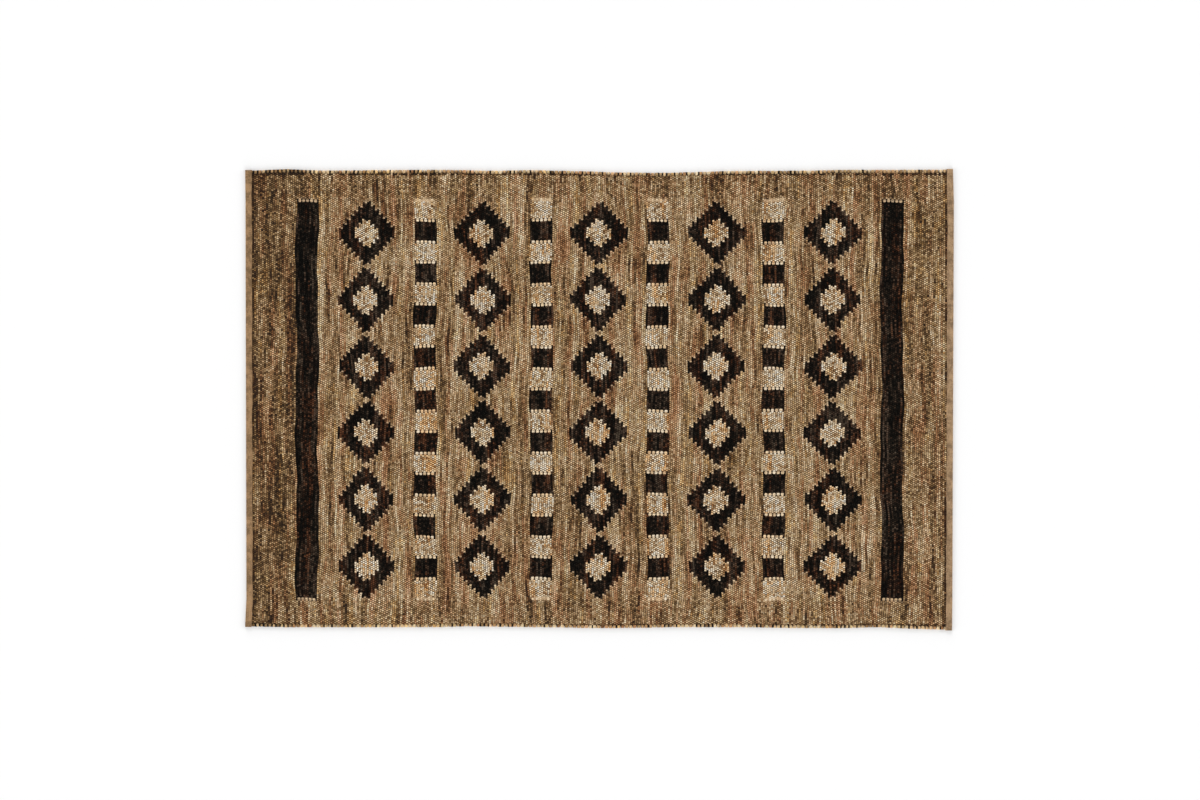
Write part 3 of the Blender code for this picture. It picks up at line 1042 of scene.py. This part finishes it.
def yarn_material(name, look):
    made, tree, shader, where = new_finish(name)
    weave = add_node(tree, "UVMap", uv_map="Weave").outputs[0]
    beads = use_group(tree, bead_group, {"Weave": weave})
    spun = {"Weave": weave, "Along": FIBRE_ALONG, "Across": FIBRE_ACROSS, "Twist": look.twist}
    fibres = use_group(tree, fibre_group, spun)

    colour = ramp(tree, yarn_tone(tree, look, beads, where), look.stops)
    hue = add_node(tree, "TexNoise", {"Vector": where, "Scale": HUE_SCALE, "Detail": 3.0}).outputs[0]
    for name_of_value, share in HUE_SHARES.items():
        centred = maths(tree, "SUBTRACT", beads[name_of_value], 0.5)
        hue = maths(tree, "MULTIPLY_ADD", centred, share, hue)
    colour = mixed(tree, 1.0, colour, ramp(tree, hue, look.hues), way="MULTIPLY")
    turned = add_node(tree, "Attribute", attribute_name="turn").outputs["Fac"]
    if look.turn:
        share = maths(tree, "MULTIPLY", turned, look.turn)
        colour = mixed(tree, share, colour, (*look.turn_tint, 1.0))
    fleck = maths(tree, "MULTIPLY", fibres["Fleck"], look.fleck)
    colour = mixed(tree, fleck, colour, (*look.fleck_tint, 1.0))
    grain = ranged(tree, fibres["Height"], 0.3, 0.7, 1 - look.grain, 1 + look.grain)
    grain_shade = add_node(tree, "CombineColor", {0: grain, 1: grain, 2: grain}).outputs[0]
    colour = mixed(tree, 1.0, colour, grain_shade, way="MULTIPLY")
    # Painted shade: the colour multiplied by the look's groove colour, kept where a bead's crown falls
    # away towards its groove.
    shaded = mixed(tree, 1.0, colour, (*look.groove, 1.0), way="MULTIPLY")
    unshaded_share = ranged(tree, beads["Crown"], *SHADE_FREE_CROWN, 0.0, 1.0)
    unshaded_share = maths(tree, "MAXIMUM", unshaded_share, maths(tree, "MULTIPLY", turned, TURN_SHADE_FREE))
    colour = mixed(tree, unshaded_share, shaded, colour)
    tree.links.new(colour, shader.inputs["Base Color"])

    rough = ranged(tree, fibres["Height"], 0.3, 0.7, *look.rough)
    tree.links.new(rough, shader.inputs["Roughness"])
    fibre_height = maths(tree, "MULTIPLY", fibres["Height"], look.relief)
    surface = maths(tree, "MULTIPLY_ADD", beads["Crown"], look.swell, fibre_height)
    bump = add_node(tree, "Bump", {"Height": surface, "Distance": 1.0})
    tree.links.new(bump.outputs[0], shader.inputs["Normal"])
    shader.inputs["Specular IOR Level"].default_value = look.gloss
    return made


ground_finish = yarn_material("heathered_leather_weft", GROUND_LOOK)
leather_finish = yarn_material("dark_leather_weft", LEATHER_LOOK)
jute_finish = yarn_material("pale_jute_weft", JUTE_LOOK)
turn_finish = yarn_material("selvedge_weft", TURN_LOOK)

# %% [markdown]
# ## Tape and thread
#
# The tape is a plain, close cloth: two sets of fine waves at right angles give its threads, and
# slow noise its faded patches. The right tape has faded a little greyer than the left.

# %% Make the tape and thread materials
THREADS_PER_METRE = 700
SLUBS = [(700.0, 90.0, 90.0), (90.0, 700.0, 90.0)]  # thicker stretches of weft and of warp
SLUB_SHARE = 0.7


def tape_material(name, light, dark):
    made, tree, shader, where = new_finish(name)
    settings = {"Vector": where, "Scale": THREADS_PER_METRE / 3, "Distortion": 1.5}
    warp, weft = (
        add_node(tree, "TexWave", settings, bands_direction=way).outputs["Fac"] for way in ("Y", "X")
    )
    threads = maths(tree, "MULTIPLY", warp, weft)
    worn = add_node(tree, "TexNoise", {"Vector": where, "Scale": 26.0, "Detail": 4.0}).outputs[0]
    tone = worn
    for stretch in SLUBS:
        slub_place = add_node(tree, "Mapping", {"Vector": where, "Scale": stretch}).outputs[0]
        slub = add_node(tree, "TexNoise", {"Vector": slub_place, "Scale": 1.0, "Detail": 2.0}).outputs[0]
        tone = maths(tree, "MULTIPLY_ADD", maths(tree, "SUBTRACT", slub, 0.5), SLUB_SHARE, tone)
    colour = mixed(tree, ranged(tree, tone, 0.3, 0.7, 0.0, 1.0), (*dark, 1.0), (*light, 1.0))
    colour = mixed(tree, ranged(tree, threads, 0.0, 0.5, 0.35, 0.0), colour, (*dark, 1.0))
    tree.links.new(colour, shader.inputs["Base Color"])
    tree.links.new(ranged(tree, worn, 0.3, 0.7, 0.80, 0.95), shader.inputs["Roughness"])
    bump = add_node(tree, "Bump", {"Height": threads, "Distance": 0.0003})
    tree.links.new(bump.outputs[0], shader.inputs["Normal"])
    shader.inputs["Specular IOR Level"].default_value = 0.25
    return made


def thread_material(name, light, dark):
    made, tree, shader, where = new_finish(name)
    plies = add_node(tree, "TexWave", {"Vector": where, "Scale": 420.0, "Distortion": 2.0}).outputs["Fac"]
    tree.links.new(mixed(tree, plies, (*dark, 1.0), (*light, 1.0)), shader.inputs["Base Color"])
    tree.links.new(ranged(tree, plies, 0.0, 1.0, 0.85, 0.7), shader.inputs["Roughness"])
    bump = add_node(tree, "Bump", {"Height": plies, "Distance": 0.0002})
    tree.links.new(bump.outputs[0], shader.inputs["Normal"])
    shader.inputs["Specular IOR Level"].default_value = 0.1
    return made


tape_finishes = {
    "left": tape_material("brown_tape", (0.46, 0.276, 0.138), (0.170, 0.100, 0.044)),
    "right": tape_material("faded_tape", (0.52, 0.339, 0.190), (0.200, 0.125, 0.066)),
}
tape_thread = thread_material("tan_thread", (0.42, 0.27, 0.15), (0.24, 0.145, 0.075))
black_thread = thread_material("black_thread", (0.011, 0.008, 0.006), (0.003, 0.0025, 0.002))

# %% Dress the pieces
FINISHES = {"leather": leather_finish, "jute": jute_finish}
for name, piece in cloth_pieces.items():
    if name == "underside":
        for finish in (ground_finish, leather_finish, jute_finish):
            piece.data.materials.append(finish)
    elif name.startswith("selvedge"):
        piece.data.materials.append(turn_finish)
    else:
        piece.data.materials.append(FINISHES.get(name, ground_finish))
edge_thread.data.materials.append(black_thread)
edge_wraps.data.materials.append(black_thread)
for side in ("left", "right"):
    tapes[side].data.materials.append(tape_finishes[side])
    sewing[side].data.materials.append(tape_thread)

# %% [markdown]
# ## Tell the frame what each piece is
#
# Every piece rides on the rug's one body. The woven pieces together stand for the imported cloth, and
# the tapes for the imported tapes. The rug is a laid sheet, and so is each tape, cut from a flat strip.

# %% Ride and replace
for piece in [*cloth_pieces.values(), edge_thread, edge_wraps]:
    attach(piece, "root")
for piece in cloth_pieces.values():
    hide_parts(CLOTH_NODE)
for side in ("left", "right"):
    for piece in (tapes[side], sewing[side]):
        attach(piece, "root")
    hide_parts(TAPE_NODES[side])

# %% [markdown]
# ## Floor, light and camera
#
# The rug lies on a plain pale floor under soft, even light, and the camera looks straight down from
# high above through a long lens, so that all four edges look straight and even.

# %% Set the stage
METRES_PER_PIXEL = 0.00424  # of a picture 1200 pixels wide
PICTURE_WIDTH = 1200 * METRES_PER_PIXEL
CAMERA_PLACE = (0.0021, -0.0013)
LENS = 100.0
SENSOR = 36.0
FLOOR_HALF = 12.0
FLOOR_HEIGHT = -0.0004  # just under the rug, so that the two don't flicker

bm = bmesh.new()
bmesh.ops.create_grid(bm, x_segments=1, y_segments=1, size=FLOOR_HALF)
floor = placed("floor", mesh_from(bm, "floor"))
floor.location.z = FLOOR_HEIGHT
paint = bpy.data.materials.new("pale_floor")
paint.use_nodes = True
coat = paint.node_tree.nodes["Principled BSDF"].inputs
coat["Base Color"].default_value = (0.95, 0.95, 0.95, 1.0)
coat["Roughness"].default_value = 0.9
floor.data.materials.append(paint)

SKY_SHARE = 0.474  # of a white floor's light, with the rest from the four lamps
world = bpy.data.worlds.new("studio")
world.use_nodes = True
world.node_tree.nodes["Background"].inputs["Color"].default_value = (1.0, 1.0, 1.0, 1.0)
world.node_tree.nodes["Background"].inputs["Strength"].default_value = SKY_SHARE
bpy.context.scene.world = world

SOFTNESS = radians(30)
ELEVATION = radians(16)
Lamp = namedtuple("Lamp", "name azimuth share")
LAMPS = [
    Lamp("back_light", 100, 0.17),
    Lamp("left_light", 190, 0.15),
    Lamp("front_light", 280, 0.13),
    Lamp("right_light", 10, 0.13),
]
for lamp in LAMPS:
    data = bpy.data.lights.new(lamp.name, "SUN")
    data.angle = SOFTNESS
    data.energy = lamp.share * pi / sin(ELEVATION)
    placed(lamp.name, data).rotation_euler = (pi / 2 - ELEVATION, 0.0, radians(lamp.azimuth) + pi / 2)
print("floor is lit to", round(SKY_SHARE + sum(lamp.share for lamp in LAMPS), 3), "of white")

camera_data = bpy.data.cameras.new("camera")
camera_data.lens = LENS
camera_data.sensor_width = SENSOR
camera_data.clip_end = 100.0
camera = placed("camera", camera_data)
camera.location = (*CAMERA_PLACE, LENS / SENSOR * PICTURE_WIDTH)
bpy.context.scene.camera = camera
bpy.context.scene.view_settings.view_transform = "Standard"
bpy.context.scene.view_settings.look = "None"
print("camera", [round(value, 3) for value in camera.location])
